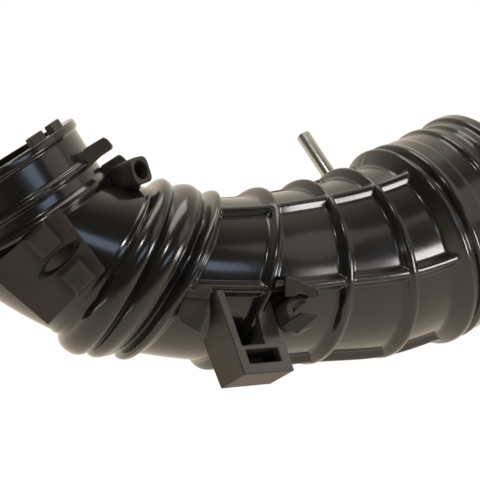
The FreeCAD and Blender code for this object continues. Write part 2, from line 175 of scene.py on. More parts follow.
def stations_at(s):
    """Cubic through the stations, with each one's slope taken from its neighbours."""
    low = np.maximum(np.arange(len(KNOTS)) - 1, 0)
    high = np.minimum(np.arange(len(KNOTS)) + 1, len(KNOTS) - 1)
    slope = (STATIONS[high] - STATIONS[low]) / (KNOTS[high] - KNOTS[low])[:, None]
    i = np.clip(np.searchsorted(KNOTS, s, side="right") - 1, 0, len(KNOTS) - 2)
    span = (KNOTS[i + 1] - KNOTS[i])[:, None]
    t = ((s - KNOTS[i]) / span[:, 0])[:, None]
    return (STATIONS[i] * (2 * t ** 3 - 3 * t ** 2 + 1)
            + STATIONS[i + 1] * (3 * t ** 2 - 2 * t ** 3)
            + slope[i] * (t ** 3 - 2 * t ** 2 + t) * span
            + slope[i + 1] * (t ** 3 - t ** 2) * span)


def ring_points(rows, angles, radius):
    """Points on each row's plane: centre plus radius along the near direction turned towards up."""
    heading = np.radians(rows[:, 3])
    normal = heading_to(rows[:, 3], rows[:, 4])
    near = np.stack([np.sin(heading), -np.cos(heading), 0 * heading], -1)
    up = np.cross(near, normal)
    turn = np.radians(angles)[None, :, None]
    spokes = np.cos(turn) * near[:, None] + np.sin(turn) * up[:, None]
    return rows[:, None, :3] + radius[:, :, None] * spokes


def soft_min(a, b, k):
    """Smaller of two heights, with the corner between them rounded over k."""
    h = np.clip(0.5 + 0.5 * (b - a) / k, 0, 1)
    return b + (a - b) * h - k * h * (1 - h)


def soft_max(a, b, k):
    """Larger of two heights, with the corner between them rounded over k."""
    return -soft_min(-a, -b, k)


def rib_height(distance, height):
    """Trapezoid rib: sloping flanks cut off at the top, with rounded corners."""
    slope = height / ((RIB_BASE - RIB_TOP) / 2)
    flank = slope * (RIB_BASE / 2 - np.abs(distance))
    return soft_max(soft_min(flank, height + 0 * flank, RIB_ROUND), 0 * flank, RIB_ROUND)


def rounded(s, points):
    """Polyline of places and radii with its corners rounded by averaging over a short spread."""
    shifts = np.linspace(-CORNER_SPREAD, CORNER_SPREAD, CORNER_SAMPLES)
    xs, ys = np.array(points).T
    return np.mean([np.interp(s + d, xs, ys) for d in shifts], axis=0)


def with_bellows(s, base, round_r, crest_r, reach):
    """Radius with round turns: circle arcs over the plain tube, blended in the valleys."""
    radius = base
    for middle in BELLOWS:
        across = np.clip(np.abs(s - middle), 0, round_r)
        arc = crest_r - round_r + np.sqrt(round_r ** 2 - across ** 2)
        radius = soft_max(radius, arc, VALLEY_ROUND)
    turns = (s > BELLOWS[0] - reach) & (s < BELLOWS[1] + reach)
    return np.where(turns, radius, base)


def outer_radius(s, angles):
    """Outside radius over the grid: collar, cuff, bellows, ring ribs and lengthwise ribs."""
    rows = stations_at(s)
    base = np.where(s < COLLAR_END, rounded(s, COLLAR_PROFILE), rows[:, 5])
    cuff = np.maximum(rounded(s - FLANGE, CUFF_PROFILE), base * (s < FLANGE))
    base = np.where(s > FLANGE - CUFF_LEAD, cuff, base)
    base = with_bellows(s, base, *TURNS)
    low_ring = np.clip(1 - ((s - RINGS[0] + LOW_RING_BACK) / LOW_RING_HALF) ** 2, 0, None)
    base = base + LOW_RING_HEIGHT * low_ring
    ring = np.max([rib_height(s - at, RING_RIB_HEIGHT) for at in RINGS], axis=0)
    gap = np.abs((angles[:, None] - np.array(LONG_RIB_ANGLES) + 180) % 360 - 180)
    distance = np.min(gap, axis=-1) * math.pi / 180 * LONG_RIB_ARC_R
    last = np.argmin(gap, axis=-1) == len(LONG_RIB_ANGLES) - 1
    start = np.where(last, RINGS[1], RINGS[0])
    inside = np.clip(s[:, None] - start, 0, 1) * np.clip(FLANGE - LONG_RIB_STOP - s, 0, 1)[:, None]
    height = rib_height(distance, LONG_RIB_HEIGHT) + LONG_RIB_SINK
    lengthwise = rows[:, 5:] + height * inside - LONG_RIB_SINK
    return soft_max((base + ring)[:, None] + 0 * lengthwise, lengthwise, RIB_JOIN)


def inner_radius(s):
    """Inside radius: straight collar bore, duct with hollow bellows, and the wider cuff bore."""
    base = np.where(s < COLLAR_BORE_DEPTH, COLLAR_BORE_R, stations_at(s)[:, 5] - WALL)
    base = with_bellows(s, base, *HOLLOWS)
    places, radii = np.array(CUFF_BORE_PROFILE).T
    return np.where(s > FLANGE - CUFF_BORE_LEAD, np.interp(s - FLANGE, places, radii), base)


def rib_columns():
    """Angles round the tube, close together on the ribs' edges and wider between them."""
    cluster = np.concatenate([-RIB_COLUMNS[:0:-1], RIB_COLUMNS])
    reach = RIB_COLUMNS[-1]
    angles = []
    for start, end in zip(LONG_RIB_ANGLES, LONG_RIB_ANGLES[1:] + (LONG_RIB_ANGLES[0] + 360,)):
        angles += [start + cluster, np.linspace(start + reach, end - reach, GAP_COLUMNS)[1:-1]]
    return np.sort(np.concatenate(angles) % 360)


def grid_faces(rows, columns, close_rows=True):
    """Quads of a grid of points, wrapped round its columns and, where they close, its rows."""
    row_starts = np.arange(rows if close_rows else rows - 1)
    i, j = np.meshgrid(row_starts, np.arange(columns), indexing="ij")
    this_row, next_row = i * columns, ((i + 1) % rows) * columns
    after = (j + 1) % columns
    corners = [this_row + j, this_row + after, next_row + after, next_row + j]
    return np.stack(corners, -1).reshape(-1, 4)


def add_mesh(name, points, faces):
    """Mesh in the part's frame, in metres, from points of the working frame."""
    points = (np.asarray(points, float).reshape(-1, 3) - COLLAR_MOUTH) * MM
    mesh = bpy.data.meshes.new(name)
    mesh.from_pydata(points.tolist(), [], [list(map(int, face)) for face in faces])
    return mesh


def add_object(name, data):
    """Object at the origin for a mesh, light or camera, linked to the scene."""
    item = bpy.data.objects.new(name, data)
    bpy.context.scene.collection.objects.link(item)
    return item


def face_outward(mesh):
    """Turns every face of a closed mesh the same way round."""
    shell = bmesh.new()
    shell.from_mesh(mesh)
    bmesh.ops.recalc_face_normals(shell, faces=shell.faces)
    shell.to_mesh(mesh)
    shell.free()


def signed_volume(mesh):
    """Volume by the divergence theorem over the triangulated faces."""
    mesh.calc_loop_triangles()
    corners = np.zeros(len(mesh.vertices) * 3)
    mesh.vertices.foreach_get("co", corners)
    index = np.zeros(len(mesh.loop_triangles) * 3, int)
    mesh.loop_triangles.foreach_get("vertices", index)
    tri = corners.reshape(-1, 3)[index].reshape(-1, 3, 3)
    return np.einsum("ij,ij->", tri[:, 0], np.cross(tri[:, 1], tri[:, 2])) / 6


def make_piece(name, points, faces, material, node, smooth=True, mixed_faces=False):
    """Closed mesh with outward faces, riding on the one body in place of a CAD node."""
    mesh = add_mesh(name, points, faces)
    mesh.validate()
    if mixed_faces:
        face_outward(mesh)
    if signed_volume(mesh) < 0:
        mesh.flip_normals()
    mesh.polygons.foreach_set("use_smooth", np.full(len(mesh.polygons), smooth))
    mesh.materials.append(material)
    mesh.update()
    piece = add_object(name, mesh)
    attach(piece, "root")
    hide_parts(node)
    return piece


def make_block(name, shape, node, edge, mixed_faces=False):
    """Flat-faced piece of block rubber with its sharp edges rounded."""
    piece = make_piece(name, *shape, block_rubber(), node, smooth=False, mixed_faces=mixed_faces)
    bevel = piece.modifiers.new("round edges", "BEVEL")
    bevel.width = edge * MM
    bevel.segments = BEVEL_SEGMENTS
    bevel.limit_method = "ANGLE"
    bevel.angle_limit = BEVEL_ANGLE
    bevel.harden_normals = True
    return piece


def air_core():
    """Closed tube a little outside the inner wall: the space that no fitting may reach into."""
    s = np.linspace(0.0, DUCT_END, CORE_ROWS)
    angles = np.linspace(0, 360, CORE_COLUMNS, endpoint=False)
    radius = np.repeat(inner_radius(s)[:, None] + CORE_MARGIN, CORE_COLUMNS, 1)
    points = ring_points(stations_at(s), angles, radius)
    ends = [range(CORE_COLUMNS), range((CORE_ROWS - 1) * CORE_COLUMNS, CORE_ROWS * CORE_COLUMNS)]
    faces = [*grid_faces(CORE_ROWS, CORE_COLUMNS, close_rows=False), *ends]
    mesh = add_mesh("air core", points, faces)
    face_outward(mesh)
    return add_object("air core", mesh)


def keep_air_way_clear(pieces):
    """Takes from each fitting, with its edges rounded, what reaches through the duct's wall."""
    core = air_core()
    for piece in pieces:
        cut = piece.modifiers.new("air way", "BOOLEAN")
        cut.object = core
        cut.operation = "DIFFERENCE"
        cut.solver = "EXACT"
    depsgraph = bpy.context.evaluated_depsgraph_get()
    for piece in pieces:
        cut_piece = piece.evaluated_get(depsgraph)
        mesh = bpy.data.meshes.new_from_object(cut_piece, depsgraph=depsgraph)
        mesh.name = piece.name
        piece.modifiers.clear()
        piece.data = mesh
    bpy.data.objects.remove(core)


def prism(outline, along, taper=1.0):
    """Outline carried along a vector, its far end drawn in towards its middle by the taper."""
    near = np.asarray(outline, float)
    middle = near.mean(axis=0)
    far = middle + (near - middle) * taper + np.asarray(along, float)
    n = len(near)
    sides = [(i, (i + 1) % n, n + (i + 1) % n, n + i) for i in range(n)]
    return np.concatenate([near, far]), sides + [tuple(range(n))[::-1], tuple(range(n, 2 * n))]


def leaning_prism(outline, front, thickness):
    """Prism on an upright plane that leans back: outline across and up the plane, and its depth."""
    across, rise = np.array(outline, float).T
    face = np.stack([across, rise * math.sin(LEAN) + front * math.cos(LEAN),
                     rise * math.cos(LEAN) - front * math.sin(LEAN)], -1)
    return prism(face, np.array([0.0, math.cos(LEAN), -math.sin(LEAN)]) * thickness)


def recessed(outline, hole, recess, back, shrink=1.0):
    """Block with a blind hole: face round the hole, hole walls and floor, block sides and back."""
    outline, hole = np.asarray(outline, float), np.asarray(hole, float)
    floor = hole.mean(axis=0) + (hole - hole.mean(axis=0)) * shrink + recess
    n, m = len(outline), len(hole)
    face = tessellate_polygon([[Vector(p) for p in outline], [Vector(p) for p in hole]])
    faces = [tuple(i if i < n else i + n for i in tri) for tri in face]
    faces += [(i, (i + 1) % n, n + (i + 1) % n, n + i) for i in range(n)]
    faces.append(tuple(range(n, 2 * n)))
    low, deep = 2 * n, 2 * n + m
    faces += [(low + i, low + (i + 1) % m, deep + (i + 1) % m, deep + i) for i in range(m)]
    faces.append(tuple(range(deep, deep + m)))
    return np.concatenate([outline, outline + back, hole, floor]), faces


def box_points(centre, axes, low, high):
    """Outline and height of a box between two corners of a frame of three axes."""
    x, y, z = axes
    corner = centre + x * low[0] + y * low[1] + z * low[2]
    wide, deep, tall = np.array(high) - np.array(low)
    return [corner, corner + x * wide, corner + x * wide + y * deep, corner + y * deep], z * tall


def plane_axes(turn):
    """Up and near directions in the plane across a heading and pitch, and its normal."""
    heading = math.radians(turn[0])
    normal = heading_to(*turn)
    near = np.array([math.sin(heading), -math.cos(heading), 0.0])
    return np.cross(near, normal), near, normal


def circle_of(up, near):
    """Angles of a full round, and the unit vectors there that turn from up towards near."""
    swing = np.linspace(0, 2 * math.pi, ROUND_COLUMNS, endpoint=False)
    return swing, np.cos(swing)[:, None] * up + np.sin(swing)[:, None] * near


class HoseLooks(bpy.types.PropertyGroup):
    """Colours and gloss that a user would change."""
    rubber: FloatVectorProperty(
        name="Rubber", description="Colour of the rubber", subtype="COLOR", size=3,
        default=(0.0085, 0.0078, 0.007), min=0, max=1)
    gloss: FloatProperty(
        name="Duct roughness", description="Roughness of the moulded duct", default=0.2,
        min=0, max=1, subtype="FACTOR")
    matt: FloatProperty(
        name="Bracket roughness", description="Roughness of brackets and blocks", default=0.5,
        min=0, max=1, subtype="FACTOR")
    zinc: FloatVectorProperty(
        name="Zinc", description="Colour of the plated pipe", subtype="COLOR", size=3,
        default=(0.56, 0.58, 0.53), min=0, max=1)


# Sockets of a Mix node that mixes colours
MIX_FACTOR, MIX_A, MIX_B, MIX_RESULT = 0, 6, 7, 2

SURFACE = "moulded surface"
SURFACE_VALUES = {"Roughness": 0.3, "Spread": 0.08, "Grain": 1800.0, "Depth": 0.03, "Dust": 0.1}
CLOUD_SCALE = 60.0
CLOUD_DETAIL = 4.0
GRAIN_DETAIL = 3.0
GRAIN_HEIGHT = 0.0004
DUST_COLOUR = (0.085, 0.068, 0.052, 1)
COAT_ROUGHNESS = 0.1


def math_node(nodes, operation):
    """Math node for an operation."""
    node = nodes.new("ShaderNodeMath")
    node.operation = operation
    return node


def colour_mix(nodes):
    """Mix node for colours."""
    node = nodes.new("ShaderNodeMix")
    node.data_type = "RGBA"
    return node


def surface_group():
    """Node group: mottled roughness and dust and the fine bumps of a moulded surface."""
    if SURFACE in bpy.data.node_groups:
        return bpy.data.node_groups[SURFACE]
    group = bpy.data.node_groups.new(SURFACE, "ShaderNodeTree")
    new_socket = group.interface.new_socket
    for name, value in SURFACE_VALUES.items():
        new_socket(name, in_out="INPUT", socket_type="NodeSocketFloat").default_value = value
    new_socket("Colour", in_out="INPUT", socket_type="NodeSocketColor")
    new_socket("Colour", in_out="OUTPUT", socket_type="NodeSocketColor")
    new_socket("Roughness", in_out="OUTPUT", socket_type="NodeSocketFloat")
    new_socket("Normal", in_out="OUTPUT", socket_type="NodeSocketVector")
    nodes, link = group.nodes, group.links.new
    given, out = nodes.new("NodeGroupInput"), nodes.new("NodeGroupOutput")
    place = nodes.new("ShaderNodeTexCoord")
    cloud = nodes.new("ShaderNodeTexNoise")
    cloud.inputs["Scale"].default_value = CLOUD_SCALE
    cloud.inputs["Detail"].default_value = CLOUD_DETAIL
    link(place.outputs["Object"], cloud.inputs["Vector"])
    centred = math_node(nodes, "SUBTRACT")
    centred.inputs[1].default_value = 0.5
    link(cloud.outputs["Fac"], centred.inputs[0])
    spread = math_node(nodes, "MULTIPLY_ADD")
    link(centred.outputs[0], spread.inputs[0])
    link(given.outputs["Spread"], spread.inputs[1])
    link(given.outputs["Roughness"], spread.inputs[2])
    link(spread.outputs[0], out.inputs["Roughness"])
    grain = nodes.new("ShaderNodeTexNoise")
    grain.inputs["Detail"].default_value = GRAIN_DETAIL
    link(place.outputs["Object"], grain.inputs["Vector"])
    link(given.outputs["Grain"], grain.inputs["Scale"])
    bump = nodes.new("ShaderNodeBump")
    bump.inputs["Distance"].default_value = GRAIN_HEIGHT
    link(given.outputs["Depth"], bump.inputs["Strength"])
    link(grain.outputs["Fac"], bump.inputs["Height"])
    link(bump.outputs["Normal"], out.inputs["Normal"])
    share = math_node(nodes, "MULTIPLY")
    link(cloud.outputs["Fac"], share.inputs[0])
    link(given.outputs["Dust"], share.inputs[1])
    dust = colour_mix(nodes)
    link(share.outputs[0], dust.inputs[MIX_FACTOR])
    link(given.outputs["Colour"], dust.inputs[MIX_A])
    dust.inputs[MIX_B].default_value = DUST_COLOUR
    link(dust.outputs[MIX_RESULT], out.inputs["Colour"])
    return group


def finish_material(name, colour, surface, metallic=0.0, coat=0.0):
    """Principled surface whose colour, roughness and normal come from the moulded surface group."""
    if name in bpy.data.materials:
        return bpy.data.materials[name]
    material = bpy.data.materials.new(name)
    material.use_nodes = True
    nodes, link = material.node_tree.nodes, material.node_tree.links.new
    shader = nodes["Principled BSDF"]
    shader.inputs["Metallic"].default_value = metallic
    shader.inputs["Coat Weight"].default_value = coat
    shader.inputs["Coat Roughness"].default_value = COAT_ROUGHNESS
    group = nodes.new("ShaderNodeGroup")
    group.node_tree = surface_group()
    group.inputs["Colour"].default_value = (*colour, 1)
    for key, value in zip(SURFACE_VALUES, surface):
        group.inputs[key].default_value = value
    link(group.outputs["Colour"], shader.inputs["Base Color"])
    link(group.outputs["Roughness"], shader.inputs["Roughness"])
    link(group.outputs["Normal"], shader.inputs["Normal"])
    return material


# Finishes: roughness, its spread, grain, depth of the grain and dust, as in SURFACE_VALUES
def duct_rubber():
    """Satin skin of the duct, as it leaves the mould."""
    looks = bpy.context.scene.hose_looks
    surface = (looks.gloss, 0.10, 900.0, 0.05, 0.08)
    return finish_material("duct rubber", looks.rubber, surface, coat=0.35)


def block_rubber():
    """Dull, dusty rubber of the pads, brackets and clips."""
    looks = bpy.context.scene.hose_looks
    surface = (looks.matt, 0.12, 1500.0, 0.12, 0.95)
    return finish_material("block rubber", looks.rubber, surface)


def zinc_plate():
    """Zinc plating of the breather pipe."""
    looks = bpy.context.scene.hose_looks
    surface = (0.3, 0.15, 700.0, 0.02, 0.1)
    return finish_material("zinc plate", looks.zinc, surface, metallic=1.0)


class HOSE_OT_duct(bpy.types.Operator):
    """Duct skin in the moulding's two lengths, which meet in the first ring rib: closed grids"""
    bl_idname = "hose.duct"
    bl_label = "Duct"

    def execute(self, context):
        self.length("duct_elbow", 0.0, RINGS[0], "hose_elbow", out_rows=170, in_rows=40)
        self.length("duct_body", RINGS[0], DUCT_END, "hose_body", out_rows=270, in_rows=60)
        return {"FINISHED"}

    def length(self, name, start, end, node, out_rows, in_rows):
        """Rows of the outside from start to end, then rows of the inside back to the start."""
        angles = rib_columns()
        out_s = np.linspace(start, end, out_rows)
        in_s = np.linspace(end, start, in_rows)
        in_radius = np.repeat(inner_radius(in_s)[:, None], len(angles), 1)
        points = np.concatenate([
            ring_points(stations_at(out_s), angles, outer_radius(out_s, angles)),
            ring_points(stations_at(in_s), angles, in_radius)])
        faces = grid_faces(len(points), len(angles))
        piece = make_piece(name, points, faces, duct_rubber(), node)
        piece.data.set_sharp_from_angle(angle=DUCT_CREASE)


PAD_Y = -61.0
PAD_MIDDLE = np.array([-77.5, PAD_Y, 5.0])
PAD_TURN = math.radians(47.0)
PAD_ALONG = np.array([math.cos(PAD_TURN), 0.0, -math.sin(PAD_TURN)])
PAD_ACROSS = np.array([math.sin(PAD_TURN), 0.0, math.cos(PAD_TURN)])
PAD_OUT = np.array([0.0, -1.0, 0.0])
PAD_OUTLINE = np.array([(-78, PAD_Y, 26.5), (-58, PAD_Y, 0), (-74, PAD_Y, -14.5),
                        (-83, PAD_Y, -24), (-109, PAD_Y, -0.5)])
PAD_DEPTH = 25
PAD_EDGE = 0.7
SLOT_HALF_LENGTH = 13.0
SLOT_HALF_WIDTH = 3.4
SLOT_POINTED = 0.4
SLOT_POINTS = 40
SLOT_DEPTH = 7
SLOT_FLOOR_SCALE = 0.3
PAD_BLOCK_AWAY = 10.5
PAD_BLOCK_HALF = 7
PAD_BLOCK_RISE = PAD_OUT * 6 + PAD_ACROSS * 1.6
PAD_BLOCK_TAPER = 0.7
PAD_BLOCK_EDGE = 0.6


class HOSE_OT_pad(bpy.types.Operator):
    """Slotted pad on the elbow with its two raised blocks: prisms with rounded edges"""
    bl_idname = "hose.pad"
    bl_label = "Pad"

    def execute(self, context):
        swing = np.linspace(0, 2 * math.pi, SLOT_POINTS, endpoint=False)[:, None]
        slim = SLOT_HALF_WIDTH * np.sin(swing) * np.abs(np.sin(swing)) ** SLOT_POINTED
        slot = PAD_MIDDLE + PAD_ACROSS * SLOT_HALF_LENGTH * np.cos(swing) + PAD_ALONG * slim
        plate = recessed(PAD_OUTLINE, slot, -PAD_OUT * SLOT_DEPTH, -PAD_OUT * PAD_DEPTH,
                         SLOT_FLOOR_SCALE)
        pad = make_block("pad", plate, "hose_elbow", PAD_EDGE, mixed_faces=True)
        keep_air_way_clear([pad])
        half_along, half_across = PAD_ALONG * PAD_BLOCK_HALF, PAD_ACROSS * PAD_BLOCK_HALF
        for name, side in (("pad_block_upper", -1), ("pad_block_lower", 1)):
            foot = PAD_MIDDLE + PAD_ALONG * (side * PAD_BLOCK_AWAY) - PAD_OUT
            corners = [foot + half_along * i + half_across * j
                       for i, j in ((-1, -1), (1, -1), (1, 1), (-1, 1))]
            raised = prism(corners, PAD_BLOCK_RISE, PAD_BLOCK_TAPER)
            make_block(name, raised, "hose_elbow", PAD_BLOCK_EDGE)
        return {"FINISHED"}


# Outlines on leaning planes, each with the plane's place in front of the origin and a thickness
LUG = ([(-73.3, 34.6), (-67.5, 40.4), (-59.8, 45.1), (-58.2, 44.2), (-56.1, 41.7), (-56.3, 40.4),
        (-61.4, 36.9), (-65.0, 33.7), (-68.5, 28.9), (-73.1, 32.4)], -44, 9)
CLIP_BLOCK = ([(-68.9, 28.1), (-64.0, 29.8), (-61.7, 33.4), (-54.1, 38.3), (-52.8, 37.6),
               (-50.1, 34.7), (-47.3, 30.4), (-44.6, 24.1), (-45.7, 21.2), (-46.6, 18.7),
               (-52.5, 17.7), (-57.4, 19.0), (-62.7, 21.9)], -27, 15)
LUG_EDGE = 0.8
# Mouth tabs: angles round the collar, and two corners out from its axis, aside and along it
TAB_ANGLES = (49.0, 69.0)
TAB_LOW, TAB_HIGH = (36, -4, -4), (39.9, 4, 1)
TAB_EDGE = 0.6
PEG_MOUTH = np.array([-44.0, -23.0, 37.0])
PEG_TURN = (-35.0, 22.0)
PEG_HALF = 6.1
PEG_SQUARE = 4
PEG_LENGTH = 17
PEG_HOLE_R = 4.4
PEG_HOLE_DEPTH = 12
PEG_EDGE = 0.5


class HOSE_OT_collar_fittings(bpy.types.Operator):
    """Lug, clip block with its peg boss, and mouth tabs of the collar: rounded blocks"""
    bl_idname = "hose.collar_fittings"
    bl_label = "Collar fittings"

    def execute(self, context):
        fittings = [make_block("lug", leaning_prism(*LUG), "hose_elbow", LUG_EDGE)]
        up, near, axis = plane_axes(COLLAR_TURN)
        for number, angle in enumerate(TAB_ANGLES, 1):
            turn = math.radians(90 - angle)
            out = up * math.cos(turn) + near * math.sin(turn)
            side = near * math.cos(turn) - up * math.sin(turn)
            tab = box_points(COLLAR_MOUTH, (out, side, axis), TAB_LOW, TAB_HIGH)
            make_block(f"tab_{number}", prism(*tab), "hose_elbow", TAB_EDGE)
        block = leaning_prism(*CLIP_BLOCK)
        fittings.append(make_block("clip_block", block, "hose_elbow", LUG_EDGE))
        fittings.append(self.peg_boss())
        keep_air_way_clear(fittings)
        return {"FINISHED"}

    def peg_boss(self):
        """Boss of rounded square section with a blind hole."""
        up, near, axis = plane_axes(PEG_TURN)
        swing, ring = circle_of(up, near)
        square = (np.abs(np.cos(swing)) ** PEG_SQUARE
                  + np.abs(np.sin(swing)) ** PEG_SQUARE) ** (-1 / PEG_SQUARE)
        outline = PEG_MOUTH + ring * (PEG_HALF * square)[:, None]
        hole = PEG_MOUTH + ring * PEG_HOLE_R
        boss = recessed(outline, hole, -axis * PEG_HOLE_DEPTH, -axis * PEG_LENGTH)
        return make_block("peg_boss", boss, "hose_elbow", PEG_EDGE, mixed_faces=True)


# Bracket's own frame; its points are across, up and, where given, depth behind its face
BRACKET_CORNER = np.array([2.0, -61.5, -46.5])
BRACKET_OUT = np.array([0.50, -0.70, 0.51])
BRACKET_ACROSS = np.array([0.84, 0.54, -0.08])
BRACKET_UP = np.array([-0.32, 0.20, 0.93])
SIDE_PLATE = [(0, 0), (0, 39), (0, 39, 18), (0, 25, 23), (0, 0, 21)]
SIDE_PLATE_THICK = 4.0
SOCKET = [(3, 0.02), (26.5, 0.02), (26.5, 13.5), (3, 13.5)]
SOCKET_HOLE = [(5, 5), (21.5, 5), (21.5, 11.2), (5, 11.2)]
SOCKET_HOLE_DEPTH = 14
GUSSET = [(15.5, 12.5), (24.5, 12.5), (25.6, 21.4), (26.5, 38), (25.4, 38), (17, 26)]
BRACKET_DEPTH = 21
BRACKET_EDGE = 0.6
# Web and its crest: outlines on leaning planes, the planes' places and thicknesses
WEB = ([(-24.5, -21.5), (-12, -21.5), (-15.5, -34.6), (-17.8, -40.5), (-25.7, -36), (-27.4, -32)],
       -49, 18)
WEB_CREST = ([(-24, -19.6), (-12, -20.5), (-13.8, -25.7), (-24, -24.6)], -51, 18)


def on_bracket(points):
    """Points of the bracket's own frame, in the working frame."""
    def at(x, y, depth=0.0):
        """One point: across, up, and behind the face."""
        return BRACKET_CORNER + BRACKET_ACROSS * x + BRACKET_UP * y - BRACKET_OUT * depth

    return [at(*point) for point in points]


class HOSE_OT_bracket(bpy.types.Operator):
    """Bracket under the body: side plate, socket box, gusset and web as rounded prisms"""
    bl_idname = "hose.bracket"
    bl_label = "Bracket"

    def execute(self, context):
        back = -BRACKET_OUT * BRACKET_DEPTH
        socket = recessed(on_bracket(SOCKET), on_bracket(SOCKET_HOLE),
                          -BRACKET_OUT * SOCKET_HOLE_DEPTH, back)
        blocks = {"bracket_plate": prism(on_bracket(SIDE_PLATE), BRACKET_ACROSS * SIDE_PLATE_THICK),
                  "bracket_box": socket,
                  "gusset": prism(on_bracket(GUSSET), back),
                  "web": leaning_prism(*WEB),
                  "web_crest": leaning_prism(*WEB_CREST)}
        keep_air_way_clear([make_block(name, block, "hose_body", BRACKET_EDGE, mixed_faces=True)
                            for name, block in blocks.items()])
        return {"FINISHED"}


CLIP_TURN = (-55.0, 30.0)
CLIP_CENTRE = np.array([25.0, -40.0, -25.0])
CLIP_GAP_HEADING = 35.0
CLIP_GAP_HALF = 45
CLIP_OUTER_R = 8.2
CLIP_SEAT_R = 5.0
CLIP_HALF_LENGTH = 5.5
CLIP_POINTS = 40
CLIP_EDGE = 0.5
# Post and arms: outlines on one leaning plane, its place and the thickness
CLIP_ARMS = {
    "clip_post": [(19.8, -16.9), (20.9, -16), (27.4, -17.8), (27.6, -21.5), (24.1, -24.7),
                  (19.7, -24.9)],
    "clip_upper_arm": [(27.4, -18.8), (34.7, -21.7), (35, -24.7), (31.5, -25.7), (27.4, -21.9)],
    "clip_lower_arm": [(18.6, -38), (26.9, -32.2), (34.5, -33.5), (25, -41.3)]}
CLIP_ARM_FRONT = -45
CLIP_ARM_THICK = 16


class HOSE_OT_cable_clip(bpy.types.Operator):
    """Open ring for a cable with its post and arms: a C section carried along its axis"""
    bl_idname = "hose.cable_clip"
    bl_label = "Cable clip"

    def execute(self, context):
        pieces = [self.open_ring()]
        for name, outline in CLIP_ARMS.items():
            arm = leaning_prism(outline, CLIP_ARM_FRONT, CLIP_ARM_THICK)
            pieces.append(make_block(name, arm, "hose_body", CLIP_EDGE))
        keep_air_way_clear(pieces)
        return {"FINISHED"}

    def open_ring(self):
        """Ring with a gap: outer arc and the seat's arc back, at both ends, with quads for caps."""
        up, near, axis = plane_axes(CLIP_TURN)
        way = heading_to(CLIP_GAP_HEADING, 0.0)
        start = math.atan2(way @ near, way @ up)
        swing = np.linspace(start + math.radians(CLIP_GAP_HALF),
                            start + math.radians(360 - CLIP_GAP_HALF), CLIP_POINTS)
        arc = np.cos(swing)[:, None] * up + np.sin(swing)[:, None] * near
        section = np.concatenate([arc * CLIP_OUTER_R, arc[::-1] * CLIP_SEAT_R])
        ends = np.stack([CLIP_CENTRE + section - axis * CLIP_HALF_LENGTH,
                         CLIP_CENTRE + section + axis * CLIP_HALF_LENGTH])
        n = len(section)
        caps = [(e * n + i, e * n + i + 1, e * n + n - 2 - i, e * n + n - 1 - i)[::1 if e else -1]
                for e in (0, 1) for i in range(CLIP_POINTS - 1)]
        faces = [*grid_faces(2, n, close_rows=False), *caps]
        return make_block("cable_clip", (ends, faces), "hose_body", CLIP_EDGE)


PIPE_TURN = (131.0, 42.0)
PIPE_R = 3.5
PIPE_BORE_R = 2.6
PIPE_FOOT_R = 4.2
PIPE_FOOT_TOP = 5.3
# Heights over the foot's top and radii of the pipe's rounded end
PIPE_END = [(27.9, PIPE_R), (28.3, 3.4), (28.5, 3.1), (28.5, 2.8), (28.2, PIPE_BORE_R)]
# Heights over the duct's skin and radii of the boss
BOSS_PROFILE = [(-WALL, 8.5), (3.5, 7.0), (4.6, 6.6), (5.0, 6.0), (5.0, PIPE_FOOT_R),
                (-WALL, PIPE_FOOT_R)]


class HOSE_OT_breather_pipe(bpy.types.Operator):
    """Steel breather pipe and its boss: turned profiles about the pipe's axis"""
    bl_idname = "hose.breather_pipe"
    bl_label = "Breather pipe"

    def execute(self, context):
        station = stations_at(np.array([(RINGS[3] + FLANGE) / 2]))[0]
        centre, skin_r = station[:3], station[5]
        boss = [(skin_r + height, radius) for height, radius in BOSS_PROFILE]
        self.turned("breather_boss", centre, boss, block_rubber(), "hose_body")
        low, top = skin_r - WALL, skin_r + PIPE_FOOT_TOP
        pipe = [(low, PIPE_BORE_R), (low, PIPE_FOOT_R), (top, PIPE_FOOT_R), (top, PIPE_R)]
        pipe += [(top + height, radius) for height, radius in PIPE_END]
        self.turned("breather_tube", centre, pipe, zinc_plate(), "breather_pipe")
        return {"FINISHED"}

    def turned(self, name, centre, profile, material, node):
        """Closed profile of heights and radii turned about the pipe's axis."""
        up, near, axis = plane_axes(PIPE_TURN)
        swing, ring = circle_of(up, near)
        heights, radii = np.array(profile).T
        points = centre + heights[:, None, None] * axis + radii[:, None, None] * ring[None]
        faces = grid_faces(len(profile), len(swing))
        piece = make_piece(name, points, faces, material, node)
        piece.data.set_sharp_from_angle(angle=TURNED_CREASE)


# Stage, in metres
WHITE = (1, 1, 1, 1)
FLOOR_GAP = 0.0005
FLOOR_HALF = 6.0
FLOOR_COLOUR = (0.9, 0.86, 0.81, 1)
FLOOR_ROUGHNESS = 0.9
FLOOR_TINT = (1.0, 0.86, 0.7, 1)
ROOM_TINT = (1.0, 0.88, 0.74, 1)
# Strength in reflections along Y: from and to these places, from and to these strengths
FLOOR_FADE = (-0.42, -0.05, 0.18, 1.0)
ROOM_FADE = (-0.2, 0.8, 0.08, 1.0)
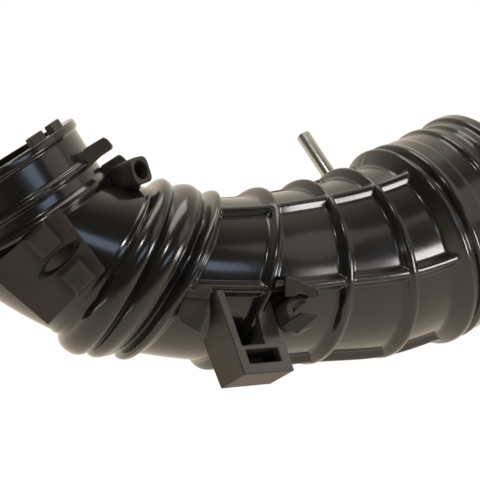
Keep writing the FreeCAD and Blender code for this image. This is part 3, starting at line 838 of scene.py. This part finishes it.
# Area lamps: place from the hose's middle, width and height, power in watts and colour
LAMPS = (
    ("window", (0.51, -0.85, 0.48), (0.5, 0.22), 1.0, (0.58, 0.75, 1.0)),
    ("side panel", (0.209, -0.093, 0.012), (0.056, 0.05), 0.14, (1.0, 0.98, 0.96)),
    ("low left", (-0.62, -0.35, -0.08), (0.4, 0.1), 0.6, (1.0, 0.92, 0.82)),
    ("soft box", (0.8, -0.15, 0.62), (0.6, 0.6), 0.9, (1.0, 0.94, 0.87)),
    ("spot", (-0.25, -0.6, 1.0), (0.12, 0.12), 2.4, (1.0, 0.97, 0.93)),
    ("top", (-0.2, 0.3, 1.0), (0.8, 0.5), 4.0, (1.0, 0.95, 0.88)))
CAMERA_AWAY = 0.9
LENS = 146.7
SENSOR = 36.0


class HOSE_OT_stage(bpy.types.Operator):
    """Pale floor, white surroundings, soft lamps and the camera"""
    bl_idname = "hose.stage"
    bl_label = "Stage"

    def execute(self, context):
        self.floor()
        self.surroundings()
        self.lamps()
        self.camera()
        context.scene.view_settings.view_transform = "Standard"
        return {"FINISHED"}

    def glow(self, tree, path, place, tint, fade, glowing):
        """White at full strength to the camera; in reflections tinted, and fading along Y."""
        nodes, link = tree.nodes, tree.links.new
        to_camera = path.outputs["Is Camera Ray"]
        colour = colour_mix(nodes)
        link(to_camera, colour.inputs[MIX_FACTOR])
        colour.inputs[MIX_A].default_value = tint
        colour.inputs[MIX_B].default_value = WHITE
        link(colour.outputs[MIX_RESULT], glowing.inputs["Color"])
        split = nodes.new("ShaderNodeSeparateXYZ")
        link(place, split.inputs[0])
        ramp = nodes.new("ShaderNodeMapRange")
        for key, value in zip(("From Min", "From Max", "To Min", "To Max"), fade):
            ramp.inputs[key].default_value = value
        link(split.outputs["Y"], ramp.inputs["Value"])
        most = math_node(nodes, "MAXIMUM")
        link(to_camera, most.inputs[0])
        link(ramp.outputs[0], most.inputs[1])
        link(most.outputs[0], glowing.inputs["Strength"])

    def floor(self):
        """Pale floor: it glows to the camera and in reflections, and is matt to all other light."""
        low = CAD_BOX[0][2] - FLOOR_GAP
        mesh = bpy.data.meshes.new("floor")
        corners = [(FLOOR_HALF * x, FLOOR_HALF * y, low) for x, y in
                   ((-1, -1), (1, -1), (1, 1), (-1, 1))]
        mesh.from_pydata(corners, [], [(0, 1, 2, 3)])
        material = bpy.data.materials.new("pale floor")
        material.use_nodes = True
        nodes, link = material.node_tree.nodes, material.node_tree.links.new
        shader = nodes["Principled BSDF"]
        shader.inputs["Base Color"].default_value = FLOOR_COLOUR
        shader.inputs["Roughness"].default_value = FLOOR_ROUGHNESS
        path, glowing = nodes.new("ShaderNodeLightPath"), nodes.new("ShaderNodeEmission")
        place = nodes.new("ShaderNodeNewGeometry").outputs["Position"]
        self.glow(material.node_tree, path, place, FLOOR_TINT, FLOOR_FADE, glowing)
        seen = math_node(nodes, "MAXIMUM")
        link(path.outputs["Is Camera Ray"], seen.inputs[0])
        link(path.outputs["Is Glossy Ray"], seen.inputs[1])
        mix = nodes.new("ShaderNodeMixShader")
        link(seen.outputs[0], mix.inputs[0])
        link(shader.outputs[0], mix.inputs[1])
        link(glowing.outputs[0], mix.inputs[2])
        link(mix.outputs[0], nodes["Material Output"].inputs["Surface"])
        mesh.materials.append(material)
        floor = add_object("floor", mesh)

    def surroundings(self):
        """White to the camera; for reflections bright behind the object and dim in front of it."""
        world = bpy.data.worlds.new("white room")
        bpy.context.scene.world = world
        world.use_nodes = True
        nodes = world.node_tree.nodes
        path = nodes.new("ShaderNodeLightPath")
        place = nodes.new("ShaderNodeTexCoord").outputs["Generated"]
        self.glow(world.node_tree, path, place, ROOM_TINT, ROOM_FADE, nodes["Background"])

    def lamps(self):
        """Area lamps that face the hose's middle and that the camera doesn't see."""
        for name, at, (width, height), power, colour in LAMPS:
            light = bpy.data.lights.new(name, "AREA")
            light.shape = "RECTANGLE"
            light.size = width
            light.size_y = height
            light.energy = power
            light.color = colour
            lamp = add_object(name, light)
            lamp.visible_camera = False
            lamp.location = HOSE_MIDDLE + np.array(at)
            toward = -np.array(at)
            lamp.rotation_euler = (math.acos(-toward[2] / np.linalg.norm(toward)), 0,
                                   math.atan2(toward[1], toward[0]) - math.pi / 2)

    def camera(self):
        """Long lens, a little above the table, square to the hose's near side."""
        lens = bpy.data.cameras.new("camera")
        lens.lens = LENS
        lens.sensor_width = SENSOR
        camera = add_object("camera", lens)
        away = np.array([0, -CAMERA_AWAY * math.cos(LEAN), CAMERA_AWAY * math.sin(LEAN)])
        camera.location = HOSE_MIDDLE + away
        camera.rotation_euler = (math.pi / 2 - LEAN, 0, 0)
        bpy.context.scene.camera = camera


class HOSE_PT_panel(bpy.types.Panel):
    """Lists the hose's finishes and pieces"""
    bl_idname = "HOSE_PT_panel"
    bl_label = "Air intake hose"
    bl_space_type = "VIEW_3D"
    bl_region_type = "UI"
    bl_category = "Hose"

    def draw(self, context):
        for key in HoseLooks.__annotations__:
            self.layout.prop(context.scene.hose_looks, key)
        for operator in PIECES:
            self.layout.operator(operator.bl_idname)


PIECES = (HOSE_OT_duct, HOSE_OT_pad, HOSE_OT_collar_fittings, HOSE_OT_bracket, HOSE_OT_cable_clip,
          HOSE_OT_breather_pipe, HOSE_OT_stage)


def register():
    """Adds the classes and the looks of a scene."""
    for item in (HoseLooks, *PIECES, HOSE_PT_panel):
        bpy.utils.register_class(item)
    bpy.types.Scene.hose_looks = PointerProperty(type=HoseLooks)


def unregister():
    """Takes away what register added."""
    del bpy.types.Scene.hose_looks
    for item in (HOSE_PT_panel, *reversed(PIECES), HoseLooks):
        bpy.utils.unregister_class(item)


def main():
    """Builds every piece and the stage."""
    register()
    for operator in PIECES:
        group, name = operator.bl_idname.split(".")
        getattr(getattr(bpy.ops, group), name)()


if __name__ == "__main__":
    main()
